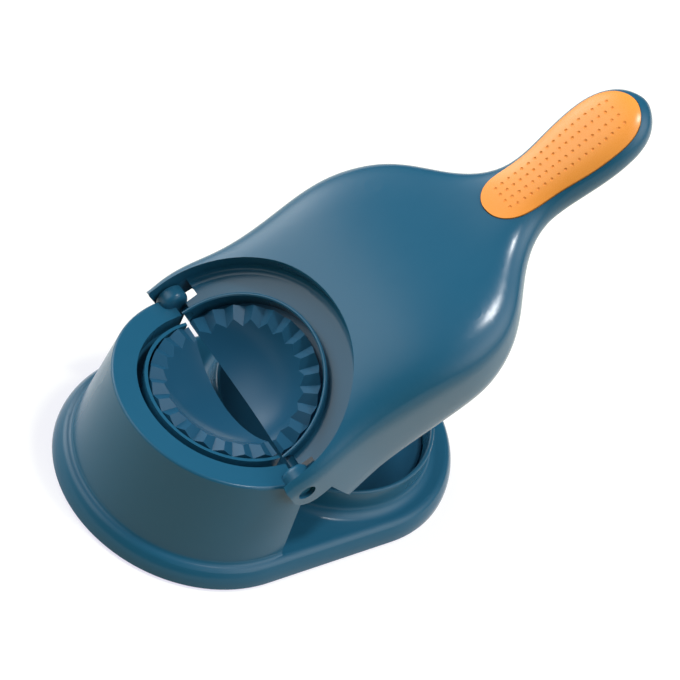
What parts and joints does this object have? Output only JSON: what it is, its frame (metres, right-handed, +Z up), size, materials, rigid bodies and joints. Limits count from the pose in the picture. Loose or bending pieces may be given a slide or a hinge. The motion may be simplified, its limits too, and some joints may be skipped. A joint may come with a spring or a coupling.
{
  "type": "dumpling press",
  "caption": "Plastic hand press: a hinged paddle-shaped lever folds a toothed half mould onto the base's half mould, and its underside presses dough in a low round cup.",
  "frame": {"origin": "on the table, under the middle of the hinge axis, in the plane of the non-slip ring's lower face", "axes": "+X runs from the front mould block towards the cup and the handle, +Y to the far side along the hinge axis, +Z up"},
  "size_m": [0.2223, 0.122, 0.1788],
  "materials": {
    "blue_plastic": "satin moulded",
    "orange_pad": "soft satin",
    "grey_rubber": "matt",
    "screw_steel": "plain"
  },
  "bodies": {
    "base": {"base_shell": "blue_plastic", "front_mould": "blue_plastic", "front_mould_screws": "screw_steel", "dough_plate": "blue_plastic", "base_cover": "blue_plastic", "base_cover_screws": "screw_steel", "base_ring": "grey_rubber", "hinge_pin_near": "blue_plastic", "hinge_pin_far": "blue_plastic"},
    "lever": {"lever_shell": "blue_plastic", "rear_mould": "blue_plastic", "rear_mould_screws": "screw_steel", "belly_cover": "blue_plastic", "belly_cover_screws": "screw_steel", "press_plate": "blue_plastic", "press_plate_screws": "screw_steel", "handle_cover": "blue_plastic", "handle_cover_screws": "screw_steel", "grip_pad": "orange_pad"}
  },
  "joints": [
    {"name": "lever_hinge", "type": "hinge", "parent": "base", "child": "lever", "pos_m": [0, 0, 0.0548], "axis": [0, -1, 0], "range_deg": [-40.4, 139.6]}
  ]
}
